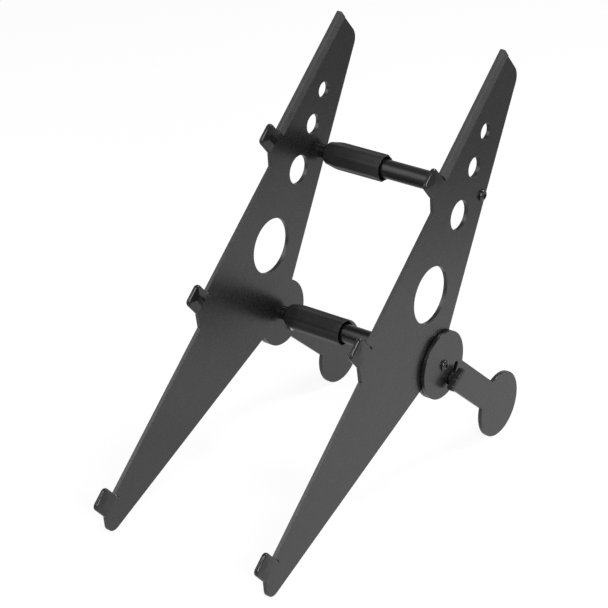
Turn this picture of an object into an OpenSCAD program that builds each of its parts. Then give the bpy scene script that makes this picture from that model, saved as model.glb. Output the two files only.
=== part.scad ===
/* [Side plates] */
// Clear distance between the inner faces of the two plates
clear_width = 124.2; // [115.2:0.5:144.2]
// Thickness of the steel sheet
plate_t = 2.8; // [2.4:0.1:3.2]
// Angle of the resting slope above the floor
slope_angle = 42.8; // [40:0.2:46]
// Width of the plate at its upper end
top_width = 28; // [24:0.5:31]
// Radius of the plate tip that stands on the floor
tip_r = 7; // [6:0.25:8]
// Position of the rear corner along the slope
corner_along = 192.4; // [186:0.4:198]
// Depth of the rear corner behind the tip line
corner_depth = 66.3; // [62:0.1:70]

/* [Rest edges] */
// Height of the lower rest edge above the tip line
low_edge = 13; // [12:0.1:14.5]
// Step from the lower to the middle rest edge
low_step = 12.6; // [11.5:0.1:14]
// Step from the middle to the upper rest edge
high_step = 10.8; // [9.8:0.1:12]
// Upper side of the lowest stop tab, measured along the slope
low_tab_top = 20; // [18:0.5:24]
// Length of the lower rest from one tab's upper side to the next
low_rest = 142.5; // [130:0.5:160]
// Length of the middle rest from one tab's upper side to the next
mid_rest = 116; // [105:0.5:130]
// Length of the upper rest from its tab to the end of the plate
high_rest = 95; // [85:0.5:110]
// Size of a stop tab along the slope
tab_side = 14; // [12.5:0.5:15]
// How far a stop tab stands out of its edge
tab_out = 11.4; // [10:0.1:12.4]
// Corner radius of a stop tab
tab_corner_r = 2.5; // [2:0.1:3.5]
// Depth of the relief slot above each tab
slot_depth = 5.8; // [5.4:0.1:7]
// Width of the relief slot above each tab
slot_w = 1.2; // [1:0.1:1.6]

/* [Plate holes] */
// Radius of the largest hole
hole_a_r = 19.3; // [17:0.1:21]
// Radius of the second hole
hole_b_r = 10.1; // [8.5:0.1:11.5]
// Radius of the third hole
hole_c_r = 6.9; // [5.5:0.1:8]
// Radius of the smallest hole
hole_d_r = 5.6; // [4.5:0.1:6.5]
// Distance of the smallest hole from the upper end
hole_d_in = 47.5; // [40:0.5:52]
// Step from the smallest hole to the third
hole_c_step = 22.9; // [19:0.1:26]
// Step from the third hole to the second
hole_b_step = 30.6; // [27:0.1:34]
// Step from the second hole to the largest
hole_a_step = 53; // [47:0.5:58]
// Depth of the largest hole behind the tip line
hole_a_depth = 16.3; // [13:0.1:19]
// Depth of the second hole behind the tip line
hole_b_depth = 4; // [2:0.1:6]
// Height of the third hole above the tip line
hole_c_up = 5.6; // [4.5:0.1:8]
// Height of the smallest hole above the tip line
hole_d_up = 12.8; // [11:0.1:15]

/* [Soft parts] */
// Wall of the rest strips
strip_wall = 0.7; // [0.5:0.05:1]
// Wall of a tab cap round its tab and on the outer side of the plate
cap_wall = 0.9; // [0.7:0.05:1.2]
// Wall of a tab cap on the inner side of the plate
cap_inner_wall = 0.5; // [0.4:0.05:0.8]
// Depth of the rest strip over the sheet edge
strip_depth = 6.2; // [5.5:0.1:7]

/* [Cross bars] */
// Outer radius of the outer tubes
tube_r = 6.5; // [6:0.1:8]
// Wall of the outer tubes
tube_wall = 1.3; // [1:0.05:1.6]
// Gap between an inner rod and its tube
rod_gap = 0.45; // [0.3:0.05:0.6]
// Distance of the upper bar from the upper end
bar_in = 77.9; // [70:0.1:90]
// Distance of the upper bar from the rear edge, across the slope
bar_edge = 5; // [4.5:0.1:7]
// Gap from the free tube end to the left plate
tube_gap = 16; // [14:0.5:20]
// Gap from the rod end to the plug at the narrowest setting
stop_gap = 7; // [4:0.5:15]

/* [Twist clutches] */
// Wall of a clutch grip over the tube
grip_wall = 2.9; // [2.4:0.1:3.5]
// Length of a clutch grip
grip_length = 47.5; // [42:0.5:54]
// Gap from a grip to the left plate
grip_gap = 4; // [3.5:0.1:6]
// Number of flutes round a grip
flutes = 8; // [6:1:10]

/* [Rear legs] */
// Distance from the pivot to the foot centre
leg_length = 96.2; // [85:0.4:110]
// Radius of the leg discs and of the lugs on the plates
disc_r = 23.5; // [21:0.5:26]
// Width of the leg arm
arm_w = 20.3; // [16:0.1:26]
// Distance from the rim of the disc to the curved slot
slot_rim = 7.6; // [6.5:0.1:8.5]
// Upper end of the curved slot seen from the arm
slot_up_angle = 18.7; // [16:0.1:22]
// Lower end of the curved slot seen from the arm
slot_down_angle = 25; // [22:0.5:28]
// Resting place of the knob seen from the arm
knob_angle = 15.4; // [13:0.1:18]

/* [Fasteners] */
// Radius of the screw shanks and knob studs
thread_r = 2; // [1.9:0.05:2]
// Radius of the screw heads
head_r = 3.8; // [3.5:0.05:4]
// Height of the screw heads
head_h = 2.2; // [2:0.05:2.5]
// Half the span of a wing knob
wing_reach = 9; // [8.2:0.1:9.8]
// Height of a wing knob
knob_h = 6; // [5.4:0.1:7]

/* [Hidden] */
// Running clearance of turning and sliding fits
fit_gap = 0.06;
// Clearance between the faces of a turning pair
face_gap = 0.1;
// Overshoot of cutting shapes
over = 1;
// How deep a straight edge runs into the round that ends it
blend = 0.02;
// Half of the clear width
half_clear = clear_width / 2;
// Outer face of the plates
half_outer = half_clear + plate_t;
// Thickness of the spacer between plate and leg
spacer_t = 0.4;
// Inner face of the legs
leg_in = half_outer + spacer_t + face_gap;
// Outer face of the legs
leg_out = leg_in + plate_t;
// Upper side of the middle stop tab
mid_tab_top = low_tab_top + low_rest;
// Upper side of the highest stop tab
high_tab_top = mid_tab_top + mid_rest;
// Length of the plates along the slope
slope_length = high_tab_top + high_rest;
// Middle rest edge
mid_edge = low_edge + low_step;
// Upper rest edge
high_edge = mid_edge + high_step;
// How far below a tab the next edge starts
neck_drop = 6.4;
// How far behind its edge the neck of a tab starts
neck_in = 2.2;
// Radius of the upper rear corner
top_corner_r = 10;
// Slope of the upper rear edge
rear_rise = (high_edge - top_width + corner_depth) / (slope_length - corner_along);
// Angle of the upper rear edge
rear_angle = atan(rear_rise);
// Centre of the upper rear corner along the slope
round_along = slope_length - top_corner_r + blend;
// Reach of the straight edges from that centre
round_reach = top_corner_r - blend;
// Upper rear edge below that centre
round_edge = rear_rise * (round_along - corner_along) - corner_depth;
// Centre of the upper rear corner across the slope
round_up = round_edge + round_reach / cos(rear_angle);
// Reach of the straight edges from the tip centre
tip_edge_r = tip_r - blend;
// Smallest hole along the slope
hole_d_along = slope_length - hole_d_in;
// Third hole along the slope
hole_c_along = hole_d_along - hole_c_step;
// Second hole along the slope
hole_b_along = hole_c_along - hole_b_step;
// Largest hole along the slope
hole_a_along = hole_b_along - hole_a_step;
// Upper bar along the slope
bar_along = slope_length - bar_in;
// Upper bar across the slope
bar_up = rear_rise * (bar_along - corner_along) - corner_depth + bar_edge;
// Distance from the tip centre to the rear corner
tip_to_corner = sqrt(pow(corner_along - tip_r, 2) + corner_depth * corner_depth);
// Direction from the tip centre to the rear corner
corner_dir = atan2(-corner_depth, corner_along - tip_r);
// Direction of the tangent point of the lower rear edge
rear_touch = corner_dir - acos(tip_edge_r / tip_to_corner);
// Start of the tip below the lowest tab
tip_start = low_edge - neck_in;
// Distance from the tip centre to that start
tip_reach = sqrt(pow(low_tab_top - tab_side - tip_r, 2) + tip_start * tip_start);
// Direction from the tip centre to that start
start_dir = atan2(tip_start, low_tab_top - tab_side - tip_r);
// Direction of the tangent point of the front of the tip
front_touch = start_dir + acos(tip_edge_r / tip_reach);
// Height that brings the tip down onto the floor
lift = tip_r - tip_r * sin(slope_angle);
// Height of the pivot above the floor
pivot_z = corner_along * sin(slope_angle) - corner_depth * cos(slope_angle) + lift;
// Pitch of the legs that brings the feet onto the floor
leg_pitch = asin((disc_r - pivot_z) / leg_length);
// Rear end of the stand before centring
rear_y = corner_along * cos(slope_angle) + corner_depth * sin(slope_angle) + leg_length * cos(leg_pitch) + disc_r;
// Corner radius of the soft caps
cap_corner_r = tab_corner_r + cap_wall;
// Front corner of the lowest cap along the slope
cap_along = low_tab_top - tab_side + tab_corner_r;
// Front corner of the lowest cap across the slope
cap_up = low_edge + tab_out - tab_corner_r;
// Front end of the stand before centring
front_y = cap_along * cos(slope_angle) - cap_up * sin(slope_angle) - cap_corner_r;
// Shift that centres the stand over the origin
shift_y = -(rear_y + front_y) / 2;
// Radius of the pivot and bar screw holes in the plates
screw_hole_r = thread_r + fit_gap;
// Radius of the plate hole that holds the pressed nut
nut_seat_r = thread_r + 0.9;
// Radius of the flange of the pressed nut
nut_flange_r = nut_seat_r + 0.7;
// Height of the nut inside the plate
nut_h = 1.8;
// Radius of the spacer disc
spacer_r = 9;
// Radius of the curved slot about the pivot
slot_path_r = disc_r - slot_rim;
// Free end of the outer tubes
tube_start = tube_gap - half_clear;
// Inner radius of the outer tubes
tube_bore_r = tube_r - tube_wall;
// Length of the threaded plug in a tube
plug_length = 12;
// Length of the turned rod end that carries the guide bush
bush_length = 12;
// Radius of the inner rods
rod_r = tube_bore_r - rod_gap;
// Radius of the turned rod end
bush_seat_r = rod_r - 0.85;
// Right end of the inner rods
rod_end = half_clear - plug_length - stop_gap;
// Left end of a grip
grip_start = grip_gap - half_clear;
// Right end of a grip
grip_end = grip_start + grip_length;
// Largest radius of a grip
grip_r = tube_r + grip_wall;
// Length of the collet in front of the tube
collet_length = 9;
// Width of the slits in a collet
slit_w = 1.2;
// Radius of the grip bore over the collet
collet_bore_r = tube_r + fit_gap;
// Radius of the grip bore over the rod
nose_bore_r = rod_r + 0.25;
// Radius of the open right end of a grip
mouth_r = grip_r - 1.2;
// Depth of the open right end of a grip
mouth_depth = 9;
// Radius of the grip nose at its end face
nose_r = nose_bore_r + 0.9;
// Radius of the grip nose behind its chamfer
shoulder_r = tube_r + 1.3;
// Length of the nose chamfer
nose_length = 2.2;
// Length of the grip taper
taper_length = 13;
// Radius of a flute cutter
flute_r = 5;
// Distance of a flute cutter from the bar
flute_path = grip_r + flute_r - 0.65;
// Length of a screw in its plug or rod
screw_grip = 9;
// Socket radius of the screw heads
socket_r = 1.45;
// Socket depth of the screw heads
socket_depth = 1.2;
// Radius of the spherical top of a screw head
dome_r = (head_r * head_r + head_h * head_h) / (2 * head_h);
// Radius of the knob washer
washer_r = 4.8;
// Thickness of the knob washer
washer_t = 0.8;
// Outer face of the knob washer
washer_out = leg_out + face_gap + washer_t;
// Radius of the round foot of a wing knob
hub_r = 4.4;
// Height of the round foot of a wing knob
hub_h = 2.2;
// Radius of a wing lobe
lobe_r = 2.9;
// Half width of the wing waist
waist_r = 2.1;
// Radius of the hollow beside the waist
hollow_r = 6;
// Tilt of the wings from the slope
wing_tilt = -12;
// Depth of the stud in the knob
stud_depth = 4.4;
// Half width of the curved slot
slot_r = thread_r + 0.3;
// Radius of its round ends
slot_end_r = slot_r + blend;

// Plane of the plates: first axis up the slope, second out of it, third along the bars
module slope_space() {
    translate([0, shift_y, lift])
        rotate([slope_angle, 0, 0])
            rotate([90, 0, 90])
                children();
}

// Plane of the legs: first axis from the pivot to the foot, third along the bars
module leg_space() {
    slope_space()
        translate([corner_along, -corner_depth, 0])
            rotate([0, 0, leg_pitch - slope_angle])
                children();
}

// Place of the knob stud, which stays on the plate
module stud_space() {
    leg_space()
        rotate([0, 0, -knob_angle])
            translate([slot_path_r, 0, 0])
                rotate([0, 0, knob_angle - leg_pitch + slope_angle])
                    children();
}

module on_left() {
    mirror([1, 0, 0])
        children();
}

// Outline of one stop tab with its root in the sheet
module tab_outline(top, edge) {
    translate([top - tab_side, edge - slot_depth])
        square([tab_side, slot_depth + tab_out - tab_corner_r]);
    translate([top - tab_side + tab_corner_r, edge])
        square([tab_side - 2 * tab_corner_r, tab_out]);
    for (at = [top - tab_corner_r, top - tab_side + tab_corner_r])
        translate([at, edge + tab_out - tab_corner_r])
            circle(r = tab_corner_r, $fn = 48);
}

// Sheet blank: floor tip, three stepped rest edges, tapering rear edges and rear lug
module plate_outline() {
    polygon([
        [tip_r, 0],
        [tip_r + tip_edge_r * cos(rear_touch), tip_edge_r * sin(rear_touch)],
        [corner_along, -corner_depth],
        [round_along + round_reach * sin(rear_angle), round_up - round_reach * cos(rear_angle)],
        [round_along, round_up],
        [slope_length, round_up],
        [slope_length, high_edge],
        [high_tab_top - tab_side, high_edge],
        [high_tab_top - tab_side, high_edge - neck_in],
        [high_tab_top - tab_side - neck_drop, mid_edge],
        [mid_tab_top - tab_side, mid_edge],
        [mid_tab_top - tab_side, mid_edge - neck_in],
        [mid_tab_top - tab_side - neck_drop, low_edge],
        [low_tab_top - tab_side, low_edge],
        [low_tab_top - tab_side, tip_start],
        [tip_r + tip_edge_r * cos(front_touch), tip_edge_r * sin(front_touch)]
    ]);
    translate([tip_r, 0])
        circle(r = tip_r, $fn = 96);
    translate([round_along, round_up])
        circle(r = top_corner_r, $fn = 96);
    translate([corner_along, -corner_depth])
        circle(r = disc_r, $fn = 144);
    tab_outline(low_tab_top, low_edge);
    tab_outline(mid_tab_top, mid_edge);
    tab_outline(high_tab_top, high_edge);
}

// Relief slot right above a tab
module slot_cut(top, edge) {
    translate([top, edge - slot_depth])
        square([slot_w, slot_depth + over]);
}

module side_plate() {
    difference() {
        slope_space()
            translate([0, 0, half_clear])
                linear_extrude(plate_t)
                    difference() {
                        plate_outline();
                        slot_cut(low_tab_top, low_edge);
                        slot_cut(mid_tab_top, mid_edge);
                        slot_cut(high_tab_top, high_edge);
                        translate([hole_a_along, -hole_a_depth])
                            circle(r = hole_a_r, $fn = 144);
                        translate([hole_b_along, -hole_b_depth])
                            circle(r = hole_b_r, $fn = 96);
                        translate([hole_c_along, hole_c_up])
                            circle(r = hole_c_r, $fn = 72);
                        translate([hole_d_along, hole_d_up])
                            circle(r = hole_d_r, $fn = 72);
                        translate([bar_along, bar_up])
                            circle(r = screw_hole_r, $fn = 48);
                        translate([corner_along, -corner_depth])
                            circle(r = screw_hole_r, $fn = 48);
                    }
        stud_space()
            translate([0, 0, half_clear - over])
                cylinder(r = nut_seat_r, h = plate_t + 2 * over, $fn = 48);
    }
}

module side_plate_left() {
    color("#3b3c3e")
        on_left()
            side_plate();
}

module side_plate_right() {
    color("#3b3c3e")
        side_plate();
}

// Soft strip pushed over the upper rest edge
module rest_strip() {
    strip_from = high_tab_top + slot_w;
    slope_space()
        difference() {
            translate([strip_from, high_edge - strip_depth, half_clear - strip_wall])
                cube([slope_length - strip_from, strip_depth + strip_wall, plate_t + 2 * strip_wall]);
            translate([strip_from - over, high_edge - strip_depth - over, half_clear])
                cube([slope_length - strip_from + 2 * over, strip_depth + over, plate_t]);
        }
}

module rest_strip_left() {
    color("#4c4d4f")
        on_left()
            rest_strip();
}

module rest_strip_right() {
    color("#4c4d4f")
        rest_strip();
}

// Outline of a cap round its tab, open towards the plate
module cap_outline(top, edge) {
    reach = neck_in + tab_out - tab_corner_r;
    translate([top - tab_side - cap_wall, edge - neck_in])
        square([tab_side + 2 * cap_wall, reach]);
    translate([top - tab_side + tab_corner_r, edge - neck_in])
        square([tab_side - 2 * tab_corner_r, neck_in + tab_out + cap_wall]);
    for (at = [top - tab_corner_r, top - tab_side + tab_corner_r])
        translate([at, edge + tab_out - tab_corner_r])
            circle(r = cap_corner_r, $fn = 48);
}

module tab_cap(top, edge) {
    slope_space()
        difference() {
            translate([0, 0, half_clear - cap_inner_wall])
                linear_extrude(cap_inner_wall + plate_t + cap_wall)
                    cap_outline(top, edge);
            translate([0, 0, half_clear])
                linear_extrude(plate_t)
                    tab_outline(top, edge);
        }
}

module tab_caps() {
    tab_cap(low_tab_top, low_edge);
    tab_cap(mid_tab_top, mid_edge);
    tab_cap(high_tab_top, high_edge);
}

module tab_caps_left() {
    color("#2b2b2d")
        on_left()
            tab_caps();
}

module tab_caps_right() {
    color("#2b2b2d")
        tab_caps();
}

// Places of the two cross bars
module upper_bar_space() {
    slope_space()
        translate([bar_along, bar_up, 0])
            children();
}

module lower_bar_space() {
    slope_space()
        translate([corner_along, -corner_depth, 0])
            children();
}

// Solid rod with a threaded left end and a turned seat for the guide bush
module inner_rod() {
    difference() {
        union() {
            translate([0, 0, -half_clear])
                cylinder(r = rod_r, h = rod_end - bush_length + half_clear, $fn = 72);
            translate([0, 0, rod_end - bush_length])
                cylinder(r = bush_seat_r, h = bush_length, $fn = 72);
        }
        translate([0, 0, -half_clear - over])
            cylinder(r = thread_r, h = screw_grip + over, $fn = 48);
    }
}

module upper_inner_rod() {
    color("#232325")
        upper_bar_space()
            inner_rod();
}

module lower_inner_rod() {
    color("#232325")
        lower_bar_space()
            inner_rod();
}

module outer_tube() {
    difference() {
        translate([0, 0, tube_start])
            cylinder(r = tube_r, h = half_clear - tube_start, $fn = 96);
        translate([0, 0, tube_start - over])
            cylinder(r = tube_bore_r, h = half_clear - tube_start + 2 * over, $fn = 96);
    }
}

module upper_outer_tube() {
    color("#1d1d1f")
        upper_bar_space()
            outer_tube();
}

module lower_outer_tube() {
    color("#1d1d1f")
        lower_bar_space()
            outer_tube();
}

// Plastic ring that guides the rod end inside the tube
module guide_bush() {
    difference() {
        translate([0, 0, rod_end - bush_length])
            cylinder(r = tube_bore_r - fit_gap, h = bush_length, $fn = 72);
        translate([0, 0, rod_end - bush_length - over])
            cylinder(r = bush_seat_r, h = bush_length + 2 * over, $fn = 72);
    }
}

module guide_bushes() {
    color("#d8d6cf") {
        upper_bar_space()
            guide_bush();
        lower_bar_space()
            guide_bush();
    }
}

// Threaded plug pressed into the right end of a tube
module tube_plug() {
    difference() {
        translate([0, 0, half_clear - plug_length])
            cylinder(r = tube_bore_r, h = plug_length, $fn = 72);
        translate([0, 0, half_clear - plug_length - over])
            cylinder(r = thread_r, h = plug_length + 2 * over, $fn = 48);
    }
}

module tube_plugs() {
    color("#8f9296") {
        upper_bar_space()
            tube_plug();
        lower_bar_space()
            tube_plug();
    }
}

// Slit ring that the grip squeezes onto the rod
module clutch_collet() {
    difference() {
        translate([0, 0, tube_start - collet_length])
            cylinder(r = tube_r, h = collet_length, $fn = 96);
        translate([0, 0, tube_start - collet_length - over])
            cylinder(r = rod_r + fit_gap, h = collet_length + 2 * over, $fn = 72);
        for (turn = [0, 90])
            rotate([0, 0, turn])
                translate([-tube_r - over, -slit_w / 2, tube_start - collet_length - over])
                    cube([2 * tube_r + 2 * over, slit_w, collet_length - 2 * over]);
    }
}

module clutch_collets() {
    color("#c9c7c0") {
        upper_bar_space()
            clutch_collet();
        lower_bar_space()
            clutch_collet();
    }
}

// Fluted sleeve with a tapering nose over the rod and an open right end over the tube
module clutch_grip() {
    difference() {
        rotate_extrude($fn = 144)
            polygon([
                [0, grip_start],
                [nose_r, grip_start],
                [shoulder_r, grip_start + nose_length],
                [grip_r, grip_start + taper_length],
                [grip_r, grip_end],
                [0, grip_end]
            ]);
        for (turn = [0 : flutes - 1])
            rotate([0, 0, turn * 360 / flutes])
                translate([flute_path, 0, grip_start - over])
                    cylinder(r = flute_r, h = grip_length + 2 * over, $fn = 72);
        translate([0, 0, grip_start - over])
            cylinder(r = nose_bore_r, h = grip_length + 2 * over, $fn = 72);
        translate([0, 0, tube_start - collet_length - face_gap])
            cylinder(r = collet_bore_r, h = grip_length, $fn = 96);
        translate([0, 0, grip_end - mouth_depth])
            cylinder(r = mouth_r, h = mouth_depth + over, $fn = 96);
    }
}

module upper_clutch_grip() {
    color("#2a2a2c")
        upper_bar_space()
            clutch_grip();
}

module lower_clutch_grip() {
    color("#2a2a2c")
        lower_bar_space()
            clutch_grip();
}

// Button head screw along the bar, with its head seated at the given face
module bar_screw(face) {
    depth = face - half_clear + screw_grip - over;
    difference() {
        union() {
            translate([0, 0, face - depth])
                cylinder(r = thread_r, h = depth, $fn = 48);
            intersection() {
                translate([0, 0, face])
                    cylinder(r = head_r, h = head_h, $fn = 72);
                translate([0, 0, face + head_h - dome_r])
                    sphere(r = dome_r, $fn = 96);
            }
        }
        translate([0, 0, face + head_h - socket_depth])
            cylinder(r = socket_r, h = socket_depth + over, $fn = 6);
    }
}

module bar_screws() {
    upper_bar_space()
        bar_screw(half_outer);
    lower_bar_space()
        bar_screw(leg_out + face_gap);
}

module bar_screws_left() {
    color("#26272a")
        on_left()
            bar_screws();
}

module bar_screws_right() {
    color("#26272a")
        bar_screws();
}

// Round disc that keeps the leg off the plate
module leg_spacer() {
    lower_bar_space()
        difference() {
            translate([0, 0, half_outer])
                cylinder(r = spacer_r, h = spacer_t, $fn = 96);
            translate([0, 0, half_outer - over])
                cylinder(r = screw_hole_r, h = spacer_t + 2 * over, $fn = 48);
        }
}

module leg_spacer_left() {
    color("#1b1b1c")
        on_left()
            leg_spacer();
}

module leg_spacer_right() {
    color("#1b1b1c")
        leg_spacer();
}

// Sector of a ring that spans the curved slot
module slot_sector() {
    wide = 2 * slot_path_r;
    polygon([
        [0, 0],
        [wide * cos(slot_up_angle), wide * sin(slot_up_angle)],
        [wide, 0],
        [wide * cos(slot_down_angle), -wide * sin(slot_down_angle)]
    ]);
}

// Pivot disc, arm and foot disc cut from one sheet
module leg() {
    leg_space()
        translate([0, 0, leg_in])
            linear_extrude(plate_t)
                difference() {
                    union() {
                        circle(r = disc_r, $fn = 144);
                        translate([leg_length, 0])
                            circle(r = disc_r, $fn = 144);
                        translate([0, -arm_w / 2])
                            square([leg_length, arm_w]);
                    }
                    circle(r = screw_hole_r, $fn = 48);
                    intersection() {
                        difference() {
                            circle(r = slot_path_r + slot_r, $fn = 144);
                            circle(r = slot_path_r - slot_r, $fn = 144);
                        }
                        slot_sector();
                    }
                    for (turn = [slot_up_angle, -slot_down_angle])
                        rotate(turn)
                            translate([slot_path_r, 0])
                                circle(r = slot_end_r, $fn = 48);
                }
}

module leg_left() {
    color("#404143")
        on_left()
            leg();
}

module leg_right() {
    color("#404143")
        leg();
}

// Nut pressed into the plate from inside, which takes the knob stud
module clinch_nut() {
    stud_space()
        difference() {
            union() {
                translate([0, 0, half_clear - nut_h])
                    cylinder(r = nut_flange_r, h = nut_h, $fn = 72);
                translate([0, 0, half_clear - nut_h])
                    cylinder(r = nut_seat_r, h = nut_h + plate_t, $fn = 48);
            }
            translate([0, 0, half_clear - nut_h - over])
                cylinder(r = thread_r + fit_gap, h = nut_h + plate_t + 2 * over, $fn = 48);
        }
}

module clinch_nut_left() {
    color("#8f9296")
        on_left()
            clinch_nut();
}

module clinch_nut_right() {
    color("#8f9296")
        clinch_nut();
}

module knob_washer() {
    stud_space()
        difference() {
            translate([0, 0, washer_out - washer_t])
                cylinder(r = washer_r, h = washer_t, $fn = 72);
            translate([0, 0, washer_out - washer_t - over])
                cylinder(r = thread_r, h = washer_t + 2 * over, $fn = 48);
        }
}

module knob_washer_left() {
    color("#9a9da1")
        on_left()
            knob_washer();
}

module knob_washer_right() {
    color("#9a9da1")
        knob_washer();
}

// Threaded stud from the knob through the slot into the nut
module knob_stud() {
    stud_space()
        translate([0, 0, half_clear - nut_h])
            cylinder(r = thread_r, h = washer_out + stud_depth - half_clear + nut_h, $fn = 48);
}

module knob_stud_left() {
    color("#9a9da1")
        on_left()
            knob_stud();
}

module knob_stud_right() {
    color("#9a9da1")
        knob_stud();
}

// Outline of the two wings with a narrow waist between them
module wing_outline() {
    far = wing_reach - lobe_r;
    difference() {
        union() {
            for (side = [-far, far])
                translate([side, 0])
                    circle(r = lobe_r, $fn = 72);
            translate([-far, -lobe_r])
                square([2 * far, 2 * lobe_r]);
        }
        for (side = [-1, 1])
            translate([0, side * (waist_r + hollow_r)])
                circle(r = hollow_r, $fn = 96);
    }
}

module wing_knob() {
    stud_space()
        rotate([0, 0, wing_tilt])
            difference() {
                union() {
                    translate([0, 0, washer_out])
                        cylinder(r = hub_r, h = hub_h, $fn = 72);
                    translate([0, 0, washer_out + hub_h - blend])
                        linear_extrude(knob_h - hub_h + blend)
                            wing_outline();
                }
                translate([0, 0, washer_out - over])
                    cylinder(r = thread_r, h = stud_depth + over, $fn = 48);
            }
}

module wing_knob_left() {
    color("#202022")
        on_left()
            wing_knob();
}

module wing_knob_right() {
    color("#202022")
        wing_knob();
}

side_plate_left();
side_plate_right();
rest_strip_left();
rest_strip_right();
tab_caps_left();
tab_caps_right();
upper_inner_rod();
lower_inner_rod();
upper_outer_tube();
lower_outer_tube();
guide_bushes();
tube_plugs();
clutch_collets();
upper_clutch_grip();
lower_clutch_grip();
bar_screws_left();
bar_screws_right();
leg_spacer_left();
leg_spacer_right();
leg_left();
leg_right();
clinch_nut_left();
clinch_nut_right();
knob_washer_left();
knob_washer_right();
knob_stud_left();
knob_stud_right();
wing_knob_left();
wing_knob_right();
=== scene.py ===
"""Desktop gear stand: two sheet steel side plates on telescopic cross bars, with folding rear legs."""
import math

import bmesh
import bpy
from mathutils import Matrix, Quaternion, Vector


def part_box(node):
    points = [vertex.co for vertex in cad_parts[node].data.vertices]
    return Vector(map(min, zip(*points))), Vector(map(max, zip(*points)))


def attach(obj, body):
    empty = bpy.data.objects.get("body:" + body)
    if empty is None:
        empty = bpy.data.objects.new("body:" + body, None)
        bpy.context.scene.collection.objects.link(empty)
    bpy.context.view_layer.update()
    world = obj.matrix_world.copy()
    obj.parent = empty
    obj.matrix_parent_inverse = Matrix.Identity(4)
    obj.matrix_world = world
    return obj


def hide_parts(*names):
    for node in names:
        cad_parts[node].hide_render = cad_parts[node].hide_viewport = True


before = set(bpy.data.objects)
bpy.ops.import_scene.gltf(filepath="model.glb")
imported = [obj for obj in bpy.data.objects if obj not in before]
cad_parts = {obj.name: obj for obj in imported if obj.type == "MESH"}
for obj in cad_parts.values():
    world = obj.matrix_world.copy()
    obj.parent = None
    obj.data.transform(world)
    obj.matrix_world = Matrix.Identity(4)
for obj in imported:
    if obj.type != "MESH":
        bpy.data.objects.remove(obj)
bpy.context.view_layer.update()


# Side plates: two mirrored blanks of 2.8 mm steel sheet with a floor tip, three stepped rest edges, four
# round holes and a rear lug. They are cut flat, deburred until each edge is soft, and powder coated black.
MM = 0.001
DEBURR = 0.35 * MM
EDGE_STEPS = 3
EDGE_SHARPER_THAN = 30
SEAM_WITHIN = 0.001 * MM
FLAT_WITHIN = 0.3
GRAIN_LOW = 0.3
GRAIN_HIGH = 0.7
EVEN = (1, 1, 1)


def bare_finish(name, **surface):
    """A new material with the values that are the same all over it."""
    material = bpy.data.materials.new(name)
    material.use_nodes = True
    shader = material.node_tree.nodes["Principled BSDF"]
    for key, value in surface.items():
        shader.inputs[key.replace("_", " ")].default_value = value
    return material, material.node_tree, shader


def grain(tree, size, detail=2, stretch=EVEN):
    """Noise with grains of a size, fixed to the piece, and stretched where a scale is under one."""
    place = tree.nodes.new("ShaderNodeTexCoord")
    mapping = tree.nodes.new("ShaderNodeMapping")
    mapping.inputs["Scale"].default_value = stretch
    tree.links.new(place.outputs["Object"], mapping.inputs["Vector"])
    noise = tree.nodes.new("ShaderNodeTexNoise")
    noise.inputs["Scale"].default_value = 1 / size
    noise.inputs["Detail"].default_value = detail
    tree.links.new(mapping.outputs["Vector"], noise.inputs["Vector"])
    return noise.outputs["Fac"]


def tint(tree, shader, dark, light, patch):
    """Colour that drifts between two tones in patches."""
    ramp = tree.nodes.new("ShaderNodeValToRGB")
    ramp.color_ramp.elements[0].position = GRAIN_LOW
    ramp.color_ramp.elements[0].color = (*dark, 1)
    ramp.color_ramp.elements[1].position = GRAIN_HIGH
    ramp.color_ramp.elements[1].color = (*light, 1)
    tree.links.new(grain(tree, patch), ramp.inputs["Fac"])
    tree.links.new(ramp.outputs["Color"], shader.inputs["Base Color"])


def gloss(tree, shader, smooth, rough, patch, detail=2, stretch=EVEN):
    """Roughness that drifts between two values in patches."""
    spread = tree.nodes.new("ShaderNodeMapRange")
    spread.inputs["From Min"].default_value = GRAIN_LOW
    spread.inputs["From Max"].default_value = GRAIN_HIGH
    spread.inputs["To Min"].default_value = smooth
    spread.inputs["To Max"].default_value = rough
    tree.links.new(grain(tree, patch, detail, stretch), spread.inputs["Value"])
    tree.links.new(spread.outputs["Result"], shader.inputs["Roughness"])


def relief(tree, shader, size, depth, detail=2, stretch=EVEN):
    """Bumps of a size and depth, on top of those that the finish already has."""
    bump = tree.nodes.new("ShaderNodeBump")
    bump.inputs["Strength"].default_value = 1
    bump.inputs["Distance"].default_value = depth
    tree.links.new(grain(tree, size, detail, stretch), bump.inputs["Height"])
    normal = shader.inputs["Normal"]
    if normal.is_linked:
        tree.links.new(normal.links[0].from_socket, bump.inputs["Normal"])
    tree.links.new(bump.outputs["Normal"], normal)


def powder_coat():
    material, tree, coat = bare_finish("black_powder_coat", IOR=1.5, Specular_IOR_Level=0.7)
    tint(tree, coat, dark=(0.007, 0.007, 0.0073), light=(0.0095, 0.0095, 0.0098), patch=40 * MM)
    gloss(tree, coat, smooth=0.26, rough=0.31, patch=3 * MM)
    relief(tree, coat, size=2.6 * MM, depth=0.006 * MM)
    relief(tree, coat, size=0.6 * MM, depth=0.0015 * MM)
    return material


def dress(node, material):
    """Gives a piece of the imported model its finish."""
    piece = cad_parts[node]
    piece.data.materials.clear()
    piece.data.materials.append(material)
    return piece


def round_off(piece, width, sharper_than=EDGE_SHARPER_THAN):
    rounded = piece.modifiers.new("rounded", "BEVEL")
    rounded.width = width
    rounded.segments = EDGE_STEPS
    rounded.limit_method = "ANGLE"
    rounded.angle_limit = math.radians(sharper_than)
    even = piece.modifiers.new("even shading", "WEIGHTED_NORMAL")
    even.keep_sharp = False


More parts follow.
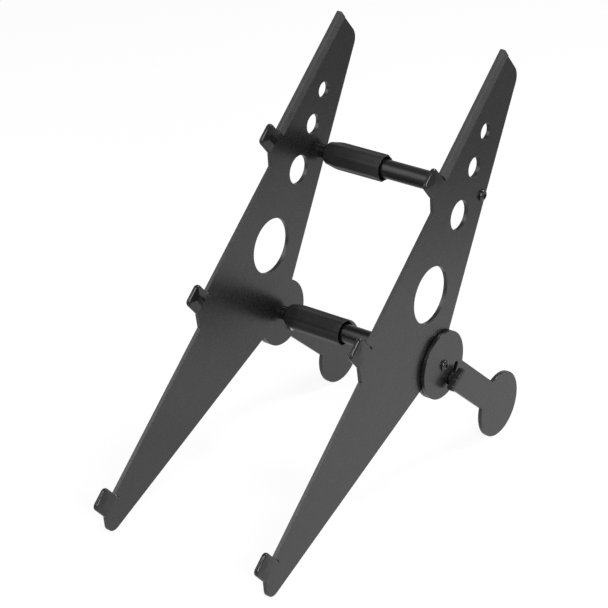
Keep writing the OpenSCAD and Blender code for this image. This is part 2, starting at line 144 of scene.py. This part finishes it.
def soften_edges(piece, width):
    """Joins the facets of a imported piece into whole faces, then rounds the edges between them."""
    joined = piece.modifiers.new("joined", "WELD")
    joined.merge_threshold = SEAM_WITHIN
    flat = piece.modifiers.new("flat faces", "DECIMATE")
    flat.decimate_type = "DISSOLVE"
    flat.angle_limit = math.radians(FLAT_WITHIN)
    round_off(piece, width)


COAT = powder_coat()
for side in ("left", "right"):
    soften_edges(dress("side_plate_" + side, COAT), DEBURR)


# Rest strips: soft extruded edge trims, a little lighter than the coat, pushed over the upper rest edges.
# Their section is a narrow U with rounded shoulders and thin lips that grip the sheet.
CLEAR_HALF = 62.1
SHEET = 2.8
SLOPE = math.radians(42.8)
SLOPE_Y = -136.1031
SLOPE_Z = 2.2439
REST_EDGE = 36.4
STRIP_FROM = 279.7
STRIP_TO = 373.5
STRIP_WALL = 0.7
STRIP_DEPTH = 6.2
STRIP_STEPS = 8
STRIP_SOFT = 0.2 * MM
STRIP_SHARPER_THAN = 50
SHOULDER_R = 1.3
SHOULDER_STEPS = 6
CREASE_FROM = math.radians(40)


def soft_rubber():
    material, tree, rubber = bare_finish("soft_grey_strip", IOR=1.48, Specular_IOR_Level=0.3)
    tint(tree, rubber, dark=(0.046, 0.046, 0.047), light=(0.056, 0.056, 0.057), patch=9 * MM)
    gloss(tree, rubber, smooth=0.55, rough=0.65, patch=1.5 * MM)
    relief(tree, rubber, size=0.3 * MM, depth=0.008 * MM, stretch=(1, 0.05, 0.05))
    relief(tree, rubber, size=0.25 * MM, depth=0.01 * MM, detail=3)
    return material


def slope_point(along, across, out):
    """Millimetres along the rest slope, across it and along the bars, turned into the stand's metres."""
    y = along * math.cos(SLOPE) - across * math.sin(SLOPE) + SLOPE_Y
    z = along * math.sin(SLOPE) + across * math.cos(SLOPE) + SLOPE_Z
    return Vector((out, y, z)) * MM


def arc(cx, cy, radius, start, end, steps):
    points = []
    for step in range(steps + 1):
        turn = math.radians(start + (end - start) * step / steps)
        points.append((cx + radius * math.cos(turn), cy + radius * math.sin(turn)))
    return points


def skin(parts):
    """Closed skins over rings of points. A part is its rings and whether the last ring meets the first."""
    shape = bmesh.new()
    for rings, endless in parts:
        rows = [[shape.verts.new(point) for point in ring] for ring in rings]
        count = len(rows[0])
        pairs = list(zip(rows, rows[1:]))
        if endless:
            pairs.append((rows[-1], rows[0]))
        for near, far in pairs:
            for at in range(count):
                after = (at + 1) % count
                shape.faces.new((near[at], near[after], far[after], far[at]))
        if not endless:
            shape.faces.new(list(reversed(rows[0])))
            shape.faces.new(rows[-1])
    bmesh.ops.recalc_face_normals(shape, faces=shape.faces)
    return shape


def crease(shape):
    for edge in shape.edges:
        if len(edge.link_faces) == 2 and edge.calc_face_angle() > CREASE_FROM:
            edge.smooth = False


def to_mesh(shape, name):
    mesh = bpy.data.meshes.new(name)
    shape.to_mesh(mesh)
    shape.free()
    return mesh


def in_scene(name, data):
    thing = bpy.data.objects.new(name, data)
    bpy.context.scene.collection.objects.link(thing)
    return thing


def mesh_piece(name, parts, material, body, slot, *nodes):
    """A piece of the stand made from parts, which rides on a body and stands for nodes of the model."""
    shape = skin(parts)
    crease(shape)
    mesh = to_mesh(shape, name)
    mesh.materials.append(material)
    for face in mesh.polygons:
        face.use_smooth = True
    piece = in_scene(name, mesh)
    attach(piece, body)
    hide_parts(*nodes)
    return piece


def strip_section():
    out = SHEET + STRIP_WALL
    low = REST_EDGE - STRIP_DEPTH
    centre = REST_EDGE + STRIP_WALL - SHOULDER_R
    section = [(-STRIP_WALL, low)]
    section += arc(-STRIP_WALL + SHOULDER_R, centre, SHOULDER_R, 180, 90, SHOULDER_STEPS)
    section += arc(out - SHOULDER_R, centre, SHOULDER_R, 90, 0, SHOULDER_STEPS)
    section += [(out, low), (SHEET, low), (SHEET, REST_EDGE), (0, REST_EDGE), (0, low)]
    return section


STRIP = soft_rubber()
for side, mirror in (("left", -1), ("right", 1)):
    rings = []
    for step in range(STRIP_STEPS + 1):
        along = STRIP_FROM + (STRIP_TO - STRIP_FROM) * step / STRIP_STEPS
        rings.append([slope_point(along, up, mirror * (CLEAR_HALF + out)) for out, up in strip_section()])
    strip = mesh_piece("edge_strip_" + side, [(rings, False)], STRIP, side + "_side", "strip",
                       "rest_strip_" + side)
    round_off(strip, STRIP_SOFT, STRIP_SHARPER_THAN)


# Tab caps: glossy soft vinyl mouldings, one pushed over each of the three stop tabs of a plate. Their faces
# swell like a pillow, their rims are fully round, and an open mouth towards the plate takes the tab.
TAB_SIDE = 14
TAB_OUT = 11.4
TAB_R = 2.5
CAP_WALL = 0.9
CAP_IN = 2.2
CAP_ROUND = 1.0
CAP_RIM = 0.13
CAP_SWELL = 0.75
CAP_TIGHT_R = 0.4
CAP_DEEPEST = 6.4
CAP_STEPS = 9
CORNER_STEPS = 8
RIM_TURN = 80
RIM_STEPS = 14
MOUTH_LIFT = 0.3
MOUTH_FALL = 0.6
HOLLOW_OVER = 1
CAP_TABS = {"low": (20, 13), "mid": (162.5, 25.6), "high": (278.5, 36.4)}


def glossy_vinyl():
    material, tree, vinyl = bare_finish("glossy_black_vinyl", IOR=1.52, Specular_IOR_Level=0.5)
    tint(tree, vinyl, dark=(0.007, 0.007, 0.0075), light=(0.010, 0.010, 0.0105), patch=5 * MM)
    gloss(tree, vinyl, smooth=0.12, rough=0.17, patch=2 * MM)
    relief(tree, vinyl, size=3.5 * MM, depth=0.012 * MM)
    return material


def cap_outline(top, edge, inset):
    """Outline of a cap, drawn in by a distance all round, as places along and across the rest slope."""
    radius = max(TAB_R + CAP_WALL - inset, CAP_TIGHT_R)
    shift = inset - (TAB_R + CAP_WALL - radius)
    left = top - TAB_SIDE + TAB_R + shift
    right = top - TAB_R - shift
    up = edge + TAB_OUT - TAB_R - shift
    low = edge - CAP_IN + min(inset, CAP_ROUND) * MOUTH_LIFT
    outline = [(right + radius, low)]
    outline += arc(right, up, radius, 0, 90, CORNER_STEPS)
    outline += arc(left, up, radius, 90, 180, CORNER_STEPS)
    outline += [(left - radius, low)]
    return outline


def pillow(along, across, top, edge):
    """Height of a cap's face over its rim: none at the sides and the end, most in the middle."""
    half_side = TAB_SIDE / 2 + CAP_WALL - CAP_ROUND
    half_out = (TAB_OUT + CAP_IN) / 2
    side_share = (along - top + TAB_SIDE / 2) / half_side
    out_share = (across - edge - TAB_OUT + half_out) / half_out
    if out_share < 0:
        out_share *= MOUTH_FALL
    return CAP_SWELL * max(1 - side_share ** 2, 0) * max(1 - out_share ** 2, 0)


def cap_rings(top, edge, mirror):
    """Rings from the middle of the inner face over the round rim to the middle of the outer face."""
    middle = CLEAR_HALF + SHEET / 2
    half = SHEET / 2 + CAP_RIM
    insets = [CAP_DEEPEST + (CAP_ROUND - CAP_DEEPEST) * step / CAP_STEPS for step in range(CAP_STEPS)]
    rings = []

    def face_ring(inset, facing):
        ring = []
        for along, across in cap_outline(top, edge, inset):
            level = middle + facing * (half + pillow(along, across, top, edge))
            ring.append(slope_point(along, across, mirror * level))
        rings.append(ring)

    for inset in insets:
        face_ring(inset, -1)
    for step in range(RIM_STEPS + 1):
        turn = math.radians(-RIM_TURN + 2 * RIM_TURN * step / RIM_STEPS)
        level = middle + half * math.sin(turn)
        outline = cap_outline(top, edge, CAP_ROUND * (1 - math.cos(turn)))
        rings.append([slope_point(along, across, mirror * level) for along, across in outline])
    for inset in reversed(insets):
        face_ring(inset, 1)
    return rings


def tab_core(top, edge, mirror):
    """The room that a tab takes up in its cap, run on past the mouth."""
    low = edge - CAP_IN - HOLLOW_OVER
    up = edge + TAB_OUT - TAB_R
    outline = [(top, low)]
    outline += arc(top - TAB_R, up, TAB_R, 0, 90, CORNER_STEPS)
    outline += arc(top - TAB_SIDE + TAB_R, up, TAB_R, 90, 180, CORNER_STEPS)
    outline += [(top - TAB_SIDE, low)]
    rings = []
    for out in (0, SHEET):
        rings.append([slope_point(along, across, mirror * (CLEAR_HALF + out)) for along, across in outline])
    return rings, False


def hollow_out(piece, cores):
    core = in_scene("tab_core", to_mesh(skin(cores), "tab_core"))
    cut = piece.modifiers.new("hollow", "BOOLEAN")
    cut.operation = "DIFFERENCE"
    cut.solver = "EXACT"
    cut.object = core
    ready = piece.evaluated_get(bpy.context.evaluated_depsgraph_get())
    hollowed = bpy.data.meshes.new_from_object(ready)
    piece.modifiers.clear()
    shape = bmesh.new()
    shape.from_mesh(hollowed)
    crease(shape)
    shape.to_mesh(hollowed)
    shape.free()
    piece.data = hollowed
    bpy.data.objects.remove(core)


VINYL = glossy_vinyl()
for side, mirror in (("left", -1), ("right", 1)):
    parts = [(cap_rings(top, edge, mirror), False) for top, edge in CAP_TABS.values()]
    caps = mesh_piece("soft_caps_" + side, parts, VINYL, side + "_side", "cap", "tab_caps_" + side)
    hollow_out(caps, [tab_core(top, edge, mirror) for top, edge in CAP_TABS.values()])


# Cross bars: a drawn steel tube from the right plate slides over a solid rod from the left one, with a
# plastic bush between them and a plug in the tube's end. Tubes and rods are lacquered glossy black.
TUBE_SOFT = 0.25 * MM
INSERT_SOFT = 0.2 * MM
DRAWN = (0.02, 1, 1)


def bar_lacquer():
    material, tree, lacquer = bare_finish("black_bar_lacquer", IOR=1.5, Specular_IOR_Level=0.5)
    tint(tree, lacquer, dark=(0.0045, 0.0045, 0.0048), light=(0.007, 0.007, 0.0074), patch=25 * MM)
    gloss(tree, lacquer, smooth=0.24, rough=0.32, patch=0.8 * MM, stretch=DRAWN)
    relief(tree, lacquer, size=0.5 * MM, depth=0.004 * MM, stretch=DRAWN)
    relief(tree, lacquer, size=1.8 * MM, depth=0.012 * MM)
    return material


def pale_plastic():
    material, tree, plastic = bare_finish("pale_bearing_plastic", IOR=1.48, Subsurface_Weight=0.05)
    tint(tree, plastic, dark=(0.55, 0.53, 0.48), light=(0.62, 0.60, 0.55), patch=4 * MM)
    gloss(tree, plastic, smooth=0.38, rough=0.5, patch=1 * MM)
    relief(tree, plastic, size=0.3 * MM, depth=0.006 * MM)
    return material


def zinc_plate():
    material, tree, zinc = bare_finish("bright_zinc", Metallic=1.0)
    tint(tree, zinc, dark=(0.42, 0.43, 0.45), light=(0.55, 0.56, 0.58), patch=1.5 * MM)
    gloss(tree, zinc, smooth=0.28, rough=0.42, patch=0.8 * MM, detail=3)
    relief(tree, zinc, size=0.2 * MM, depth=0.004 * MM)
    return material


LACQUER = bar_lacquer()
BEARING = pale_plastic()
ZINC = zinc_plate()
for bar in ("upper", "lower"):
    soften_edges(dress(bar + "_outer_tube", LACQUER), TUBE_SOFT)
    soften_edges(dress(bar + "_inner_rod", LACQUER), TUBE_SOFT)
soften_edges(dress("guide_bushes", BEARING), INSERT_SOFT)
soften_edges(dress("clutch_collets", BEARING), INSERT_SOFT)
soften_edges(dress("tube_plugs", ZINC), INSERT_SOFT)


# Twist clutches: tapering sleeves of satin black plastic with broad flutes between narrow ridges. Turning
# one squeezes the slit collet inside it onto the rod. The open end leaves a dark ring round the tube.
GRIP_FROM = -58.1
GRIP_LONG = 47.5
GRIP_R = 9.4
NOSE_R = 5.9
NOSE_LONG = 2.2
NOSE_ROUND = ((0, -0.3), (0.1, -0.05), (0.35, 0.25))
SLEEVE_SHOULDER_R = 7.8
SLEEVE_SHOULDER_ROUND = ((-0.3, -0.28, 0.1), (0, -0.06, 0.25), (0.4, 0.05, 0.4))
TAPER_LONG = 13
TAPER_STEPS = 8
TAPER_CURVE = 1.2
BODY_STEPS = 9
END_ROUND = 0.5
END_STEPS = 4
MOUTH_R = 8.2
MOUTH_DEEP = 9
MOUTH_EDGE = 0.15
TUBE_BORE_R = 6.56
ROD_BORE_R = 5.0
ROD_BORE_EDGE = 0.2
COLLET_STEP = -55.2
FLUTES = 8
FLUTE_DEEP = 0.65
FLUTE_CURVE = 0.75
FLUTE_POINTS = 24


def satin_plastic():
    material, tree, plastic = bare_finish("satin_black_plastic", IOR=1.47, Specular_IOR_Level=0.4)
    tint(tree, plastic, dark=(0.012, 0.012, 0.0124), light=(0.017, 0.017, 0.0175), patch=8 * MM)
    gloss(tree, plastic, smooth=0.42, rough=0.5, patch=1.2 * MM)
    relief(tree, plastic, size=0.25 * MM, depth=0.008 * MM, detail=3)
    return material


def sleeve_outside():
    """Radius of the sleeve's skin by place along it, and how much of the flute depth it carries there."""
    nose_end = GRIP_FROM + NOSE_LONG
    taper_end = GRIP_FROM + TAPER_LONG
    end = GRIP_FROM + GRIP_LONG
    rows = [(GRIP_FROM + on, NOSE_R + out, 0) for on, out in NOSE_ROUND]
    for on, out, fluted in SLEEVE_SHOULDER_ROUND:
        rows.append((nose_end + on, SLEEVE_SHOULDER_R + out, fluted))
    start, start_r, start_fluted = rows[-1]
    for step in range(1, TAPER_STEPS + 1):
        share = step / TAPER_STEPS
        swell = math.sin(share * math.pi / 2) ** TAPER_CURVE
        radius = start_r + (GRIP_R - start_r) * swell
        rows.append((start + (taper_end - start) * share, radius, start_fluted + (1 - start_fluted) * share))
    for step in range(1, BODY_STEPS + 1):
        rows.append((taper_end + (end - END_ROUND - taper_end) * step / BODY_STEPS, GRIP_R, 1))
    for drop, rise in arc(END_ROUND, END_ROUND, END_ROUND, 180, 270, END_STEPS)[1:]:
        rows.append((end - rise, GRIP_R - drop, 1))
    return rows


def sleeve_inside():
    """The wide mouth round the tube, the bore that clears the tube, and the tight bore round the rod."""
    end = GRIP_FROM + GRIP_LONG
    rows = [(end, MOUTH_R + MOUTH_EDGE, 0), (end - MOUTH_EDGE, MOUTH_R, 0), (end - MOUTH_DEEP, MOUTH_R, 0)]
    rows += [(end - MOUTH_DEEP, TUBE_BORE_R, 0), (COLLET_STEP, TUBE_BORE_R, 0), (COLLET_STEP, ROD_BORE_R, 0)]
    rows += [(GRIP_FROM + ROD_BORE_EDGE, ROD_BORE_R, 0), (GRIP_FROM, ROD_BORE_R + ROD_BORE_EDGE, 0)]
    return rows


def sleeve_rings(y, z):
    rings = []
    count = FLUTES * FLUTE_POINTS
    for along, radius, fluted in sleeve_outside() + sleeve_inside():
        ring = []
        for point in range(count):
            turn = 2 * math.pi * point / count
            wave = (1 + math.cos(FLUTES * turn)) / 2
            reach = radius - fluted * FLUTE_DEEP * wave ** FLUTE_CURVE
            ring.append(Vector((along, y + reach * math.cos(turn), z + reach * math.sin(turn))) * MM)
        rings.append(ring)
    return rings


def middle_of(node):
    """The middle of a node, seen along the bars, in millimetres."""
    low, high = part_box(node)
    return (low[1] + high[1]) / 2 / MM, (low[2] + high[2]) / 2 / MM


GRIP = satin_plastic()
for bar in ("upper", "lower"):
    rings = sleeve_rings(*middle_of(bar + "_outer_tube"))
    mesh_piece(bar + "_twist_sleeve", [(rings, True)], GRIP, bar + "_clutch", "grip", bar + "_clutch_grip")


# Bar screws: black oxidised steel button heads, polished, with a full round dome and a hex socket, that hold
# the bars to the plates. The lower pair also holds the rear legs, each with a plastic disc under the leg.
HEAD_R = 3.8
HEAD_HIGH = 2.2
HEAD_FLAT_SHARE = 0.5
HEAD_RIM = 0.8
HEAD_EDGE = 0.12
FLAT_EDGE = 0.05
SOCKET_R = 1.45
SOCKET_DEEP = 1.2
SOCKET_EDGE_WIDE = 0.12
SOCKET_EDGE_DEEP = 0.08
SCREW_R = 2.0
SCREW_TIP = 0.4
SCREW_POINTS = 72
DOME_STEPS = 12
HEX_TURN = math.radians(60)
SHEEN_SPREAD = 0.04


def black_steel(name, dark, light, smooth, depth):
    material, tree, steel = bare_finish(name, Metallic=1.0)
    tint(tree, steel, dark, light, patch=2 * MM)
    gloss(tree, steel, smooth, smooth + SHEEN_SPREAD, patch=0.6 * MM)
    relief(tree, steel, size=0.5 * MM, depth=depth)
    return material


def spacer_plastic():
    material, tree, plastic = bare_finish("black_spacer_plastic", IOR=1.5)
    tint(tree, plastic, dark=(0.012, 0.012, 0.012), light=(0.016, 0.016, 0.016), patch=4 * MM)
    gloss(tree, plastic, smooth=0.45, rough=0.55, patch=1 * MM)
    relief(tree, plastic, size=0.3 * MM, depth=0.008 * MM)
    return material


def head_profile():
    """Heights over the seat and radii from the seat up over the dome, then down into the hex socket."""
    flat_r = HEAD_R * HEAD_FLAT_SHARE
    last = math.acos(HEAD_FLAT_SHARE)
    dome_high = (HEAD_HIGH - HEAD_RIM) / math.sin(last)
    rows = [(0, SCREW_R, False), (0, HEAD_R - HEAD_EDGE, False), (HEAD_EDGE, HEAD_R, False)]
    for step in range(DOME_STEPS + 1):
        turn = last * step / DOME_STEPS
        rows.append((HEAD_RIM + dome_high * math.sin(turn), HEAD_R * math.cos(turn), False))
    rows.append((HEAD_HIGH, flat_r - FLAT_EDGE, False))
    rows.append((HEAD_HIGH, SOCKET_R + SOCKET_EDGE_WIDE, False))
    rows.append((HEAD_HIGH - SOCKET_EDGE_DEEP, SOCKET_R, True))
    rows.append((HEAD_HIGH - SOCKET_DEEP, SOCKET_R, True))
    return rows


def screw_rings(tip, seat, y, z, mirror):
    shank = [(tip - seat, SCREW_R - SCREW_TIP, False), (tip - seat + SCREW_TIP, SCREW_R, False)]
    rings = []
    for rise, radius, hexed in shank + head_profile():
        ring = []
        for point in range(SCREW_POINTS):
            turn = 2 * math.pi * point / SCREW_POINTS
            reach = radius
            if hexed:
                reach *= math.cos(HEX_TURN / 2) / math.cos(turn % HEX_TURN - HEX_TURN / 2)
            across = y + reach * math.cos(turn)
            up = z + reach * math.sin(turn)
            ring.append(Vector((mirror * (seat + rise), across, up)) * MM)
        rings.append(ring)
    return rings


STEEL = black_steel("black_oxide_steel", dark=(0.075, 0.076, 0.078), light=(0.09, 0.091, 0.094), smooth=0.1,
                    depth=0.002 * MM)
SPACER = spacer_plastic()
for side, mirror in (("left", -1), ("right", 1)):
    low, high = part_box("bar_screws_" + side)
    tip, head_top = sorted((abs(low[0]) / MM, abs(high[0]) / MM))
    parts = []
    for bar, seat in (("upper", CLEAR_HALF + SHEET), ("lower", head_top - HEAD_HIGH)):
        y, z = middle_of(bar + "_outer_tube")
        parts.append((screw_rings(tip, seat, y, z, mirror), False))
    mesh_piece("button_screws_" + side, parts, STEEL, side + "_side", "screw", "bar_screws_" + side)
    soften_edges(dress("leg_spacer_" + side, SPACER), INSERT_SOFT)


# Rear legs: cut from the same sheet as the plates, a pivot disc, an arm and a foot disc, and coated with
# them. The curved slot near the rim of the pivot disc runs along the knob's stud.
for side in ("left", "right"):
    soften_edges(dress("leg_" + side, COAT), DEBURR)


# Knob hardware: a zinc plated nut pressed into the plate and a zinc plated stud, with a dull black washer.
# The wing knobs on top are glossy black plastic mouldings: two blunt wings on a low round foot.
HARDWARE_SOFT = 0.15 * MM
KNOB_FROM = 69.1
KNOB_HIGH = 6
HUB_HIGH = 1.3
HUB_R = 4.4
HUB_EDGE = 0.2
HUB_POINTS = 60
HUB_INTO_WING = 0.05
HUB_SHOULDER = 0.6
WING_REACH = 9
WING_R = 2.6
WING_TILT = -12
WING_TOP_ROUND = 0.8
WING_TOP_STEPS = 5
WING_FOOT_ROUND = 0.4
WING_FOOT_STEPS = 3
WING_STEPS = 16
WAIST_R = 2.2
HOLLOW_R = 6


def knob_plastic():
    material, tree, plastic = bare_finish("black_knob_plastic", IOR=1.5, Specular_IOR_Level=0.6)
    tint(tree, plastic, dark=(0.008, 0.008, 0.0083), light=(0.011, 0.011, 0.0114), patch=5 * MM)
    gloss(tree, plastic, smooth=0.36, rough=0.42, patch=1 * MM)
    relief(tree, plastic, size=0.3 * MM, depth=0.006 * MM, detail=3)
    return material


def wing_line(inset):
    """Outline of the wings, drawn in by a distance: a half circle at each end and a hollow on each side."""
    far = WING_REACH - WING_R
    start = math.degrees(math.asin((WAIST_R + HOLLOW_R - WING_R) / HOLLOW_R))
    line = arc(far, 0, WING_R - inset, -90, 90, WING_STEPS)
    line += arc(0, WAIST_R + HOLLOW_R, HOLLOW_R + inset, -start, -180 + start, WING_STEPS)
    line += arc(-far, 0, WING_R - inset, 90, 270, WING_STEPS)
    line += arc(0, -WAIST_R - HOLLOW_R, HOLLOW_R + inset, 180 - start, start, WING_STEPS)
    return line


def hub_line(radius):
    return arc(0, 0, radius, 0, 360 - 360 / HUB_POINTS, HUB_POINTS - 1)


def knob_parts(stud_y, stud_z, mirror):
    tilt = SLOPE + math.radians(WING_TILT)
    base = KNOB_FROM + HUB_HIGH
    top = KNOB_FROM + KNOB_HIGH

    def placed(line, out):
        ring = []
        for x, y in line:
            across = x * math.cos(tilt) - y * math.sin(tilt)
            up = x * math.sin(tilt) + y * math.cos(tilt)
            ring.append(Vector((mirror * out, stud_y + across, stud_z + up)) * MM)
        return ring

    foot_round = arc(WING_FOOT_ROUND, WING_FOOT_ROUND, WING_FOOT_ROUND, 180, 270, WING_FOOT_STEPS)
    top_round = arc(WING_TOP_ROUND, WING_TOP_ROUND, WING_TOP_ROUND, 180, 270, WING_TOP_STEPS)
    wings = [placed(wing_line(inset), base + rise) for inset, rise in reversed(foot_round)]
    wings += [placed(wing_line(inset), top - rise) for inset, rise in top_round]
    hub = [placed(hub_line(HUB_R - HUB_EDGE), KNOB_FROM)]
    hub.append(placed(hub_line(HUB_R), KNOB_FROM + HUB_EDGE))
    hub.append(placed(hub_line(HUB_R), base + HUB_INTO_WING))
    hub.append(placed(hub_line(HUB_R - HUB_SHOULDER), base + 2 * HUB_INTO_WING))
    return [(wings, False), (hub, False)]


KNOB = knob_plastic()
WASHER = black_steel("dull_black_steel", dark=(0.022, 0.022, 0.023), light=(0.03, 0.03, 0.031), smooth=0.42,
                     depth=0.006 * MM)
for side, mirror in (("left", -1), ("right", 1)):
    soften_edges(dress("clinch_nut_" + side, ZINC), HARDWARE_SOFT)
    soften_edges(dress("knob_stud_" + side, ZINC), HARDWARE_SOFT)
    soften_edges(dress("knob_washer_" + side, WASHER), HARDWARE_SOFT)
    parts = knob_parts(*middle_of("knob_stud_" + side), mirror)
    mesh_piece("wing_knob_moulding_" + side, parts, KNOB, side + "_knob", "knob", "wing_knob_" + side)


# Table and room: a pale round table top, glowing an even white to the camera, in a white room. In the gloss
# of the stand the table shows a painted pool of light, bright near by and dim farther off, and the room is
# bright low down and dim above. The table keeps a soft shadow.
TABLE_R = 2.5
TABLE_POINTS = 128
TABLE_COLOUR = (0.9, 0.9, 0.9, 1)
TABLE_ROUGH = 0.9
TABLE_SHINE = 0.1
TABLE_GLOW = 1.06
TABLE_GLOW_SHARE = 0.85
MIRROR_SHARE = 0.7
BRIGHT_TO = 0.34
DIM_FROM = 0.62
TABLE_BRIGHT = 0.74
TABLE_DIM = 0.3
ROOM_LIGHT = 0.2
WALL_BRIGHT_TO = 0.04
WALL_DIM_FROM = 0.3
WALL_BRIGHT = 0.8
WALL_DIM = 0.33


def larger(tree, first, second):
    node = tree.nodes.new("ShaderNodeMath")
    node.operation = "MAXIMUM"
    tree.links.new(first, node.inputs[0])
    tree.links.new(second, node.inputs[1])
    return node.outputs[0]


def times(tree, first, second):
    """A socket times a number or another socket."""
    node = tree.nodes.new("ShaderNodeMath")
    node.operation = "MULTIPLY"
    tree.links.new(first, node.inputs[0])
    if isinstance(second, float):
        node.inputs[1].default_value = second
    else:
        tree.links.new(second, node.inputs[1])
    return node.outputs[0]


def ramp_down(tree, value, start, end, high, low):
    slope = tree.nodes.new("ShaderNodeMapRange")
    slope.inputs["From Min"].default_value = start
    slope.inputs["From Max"].default_value = end
    slope.inputs["To Min"].default_value = high
    slope.inputs["To Max"].default_value = low
    tree.links.new(value, slope.inputs["Value"])
    return slope.outputs["Result"]


def ways_seen(tree):
    """Whether a place is seen straight or through glass, and whether it is seen in a mirror image."""
    path = tree.nodes.new("ShaderNodeLightPath")
    plain = larger(tree, path.outputs["Is Camera Ray"], path.outputs["Is Transmission Ray"])
    return plain, path.outputs["Is Glossy Ray"]


def table_finish():
    material, tree, matt = bare_finish("pale_floor", Base_Color=TABLE_COLOUR, Roughness=TABLE_ROUGH,
                                       Specular_IOR_Level=TABLE_SHINE)
    place = tree.nodes.new("ShaderNodeTexCoord")
    measure = tree.nodes.new("ShaderNodeVectorMath")
    measure.operation = "LENGTH"
    tree.links.new(place.outputs["Object"], measure.inputs[0])
    distance = measure.outputs["Value"]
    plain, mirrored = ways_seen(tree)
    # painted pool of light: seen only in the gloss of the stand, the table glows brighter near by and dimmer
    # farther off
    painted_pool_glow = ramp_down(tree, distance, BRIGHT_TO, DIM_FROM, TABLE_BRIGHT, TABLE_DIM)
    mirror_share = ramp_down(tree, distance, BRIGHT_TO, DIM_FROM, MIRROR_SHARE, 1.0)
    strength = larger(tree, times(tree, plain, TABLE_GLOW), times(tree, mirrored, painted_pool_glow))
    share = larger(tree, times(tree, plain, TABLE_GLOW_SHARE), times(tree, mirrored, mirror_share))
    glow = tree.nodes.new("ShaderNodeEmission")
    tree.links.new(strength, glow.inputs["Strength"])
    mix = tree.nodes.new("ShaderNodeMixShader")
    tree.links.new(share, mix.inputs["Fac"])
    tree.links.new(matt.outputs["BSDF"], mix.inputs[1])
    tree.links.new(glow.outputs["Emission"], mix.inputs[2])
    tree.links.new(mix.outputs["Shader"], tree.nodes["Material Output"].inputs["Surface"])
    return material


disc = bmesh.new()
bmesh.ops.create_circle(disc, cap_ends=True, segments=TABLE_POINTS, radius=TABLE_R)
table_mesh = to_mesh(disc, "floor")
table_mesh.materials.append(table_finish())
floor = in_scene("floor", table_mesh)

world = bpy.data.worlds.new("room")
world.use_nodes = True
bpy.context.scene.world = world
room = world.node_tree
light = room.nodes["Background"]
light.inputs["Color"].default_value = (1, 1, 1, 1)
light.inputs["Strength"].default_value = ROOM_LIGHT
facing = room.nodes.new("ShaderNodeTexCoord")
split = room.nodes.new("ShaderNodeSeparateXYZ")
room.links.new(facing.outputs["Generated"], split.inputs[0])
plain, mirrored = ways_seen(room)
wall_glow = ramp_down(room, split.outputs["Z"], WALL_BRIGHT_TO, WALL_DIM_FROM, WALL_BRIGHT, WALL_DIM)
backdrop = room.nodes.new("ShaderNodeBackground")
backdrop.inputs["Color"].default_value = (1, 1, 1, 1)
room.links.new(larger(room, plain, times(room, mirrored, wall_glow)), backdrop.inputs["Strength"])
room_mix = room.nodes.new("ShaderNodeMixShader")
room.links.new(larger(room, plain, mirrored), room_mix.inputs["Fac"])
room.links.new(light.outputs["Background"], room_mix.inputs[1])
room.links.new(backdrop.outputs["Background"], room_mix.inputs[2])
room.links.new(room_mix.outputs["Shader"], room.nodes["World Output"].inputs["Surface"])


# Lamps: a tall soft box on the left draws the streaks on the bars and the cut edges, and a weak high one
# helps it. The front top box lights the rims of the caps, and the two small strong ones, in front and behind
# on the right, light the plates and put the bright spots on the screws. A broad weak one hangs above.
MIDDLE = (0, 0, 0.13)


def soft_box(name, place, wide, tall, power, aim=MIDDLE):
    lamp = bpy.data.lights.new(name, "AREA")
    lamp.shape = "RECTANGLE"
    lamp.size = wide
    lamp.size_y = tall
    lamp.energy = power
    stand = in_scene(name, lamp)
    stand.location = place
    stand.visible_camera = False
    stand.rotation_euler = (Vector(aim) - Vector(place)).to_track_quat("-Z", "Y").to_euler()


soft_box("front_left_box", place=(-0.80, -0.985, 0.87), wide=0.6, tall=1.1, power=4)
soft_box("high_left_box", place=(-0.79, -0.57, 1.27), wide=0.7, tall=0.7, power=0.9)
soft_box("front_top_box", place=(0.38, -0.71, 1.36), wide=0.4, tall=0.5, power=6.5)
soft_box("front_right_box", place=(1.05, -0.86, 0.75), wide=0.4, tall=0.4, power=9.5)
soft_box("rear_right_box", place=(0.5, 0.85, 1.18), wide=0.4, tall=0.4, power=9)
soft_box("top_box", place=(0.1, 0.3, 1.7), wide=1, tall=1, power=1, aim=(0, 0, 0.1))


# Camera: a long lens from the front right, a little above the stand.
CAMERA_AIM = Vector((0, -0.012368, 0.133126))
CAMERA_AWAY = 1.405853
CAMERA_ROUND = math.radians(35.725768)
CAMERA_UP = math.radians(25.806154)
CAMERA_ROLL = math.radians(0.547721)
LENS = 130.294729
SENSOR = 36
SEES_TO = 20

lens = bpy.data.cameras.new("camera")
lens.lens = LENS
lens.sensor_width = SENSOR
lens.clip_end = SEES_TO
camera = in_scene("camera", lens)
level = math.cos(CAMERA_UP)
towards = Vector((math.sin(CAMERA_ROUND) * level, -math.cos(CAMERA_ROUND) * level, math.sin(CAMERA_UP)))
camera.location = CAMERA_AIM + towards * CAMERA_AWAY
camera.rotation_mode = "QUATERNION"
camera.rotation_quaternion = (-towards).to_track_quat("-Z", "Y") @ Quaternion((0, 0, 1), CAMERA_ROLL)
bpy.context.scene.camera = camera
bpy.context.scene.view_settings.view_transform = "Standard"
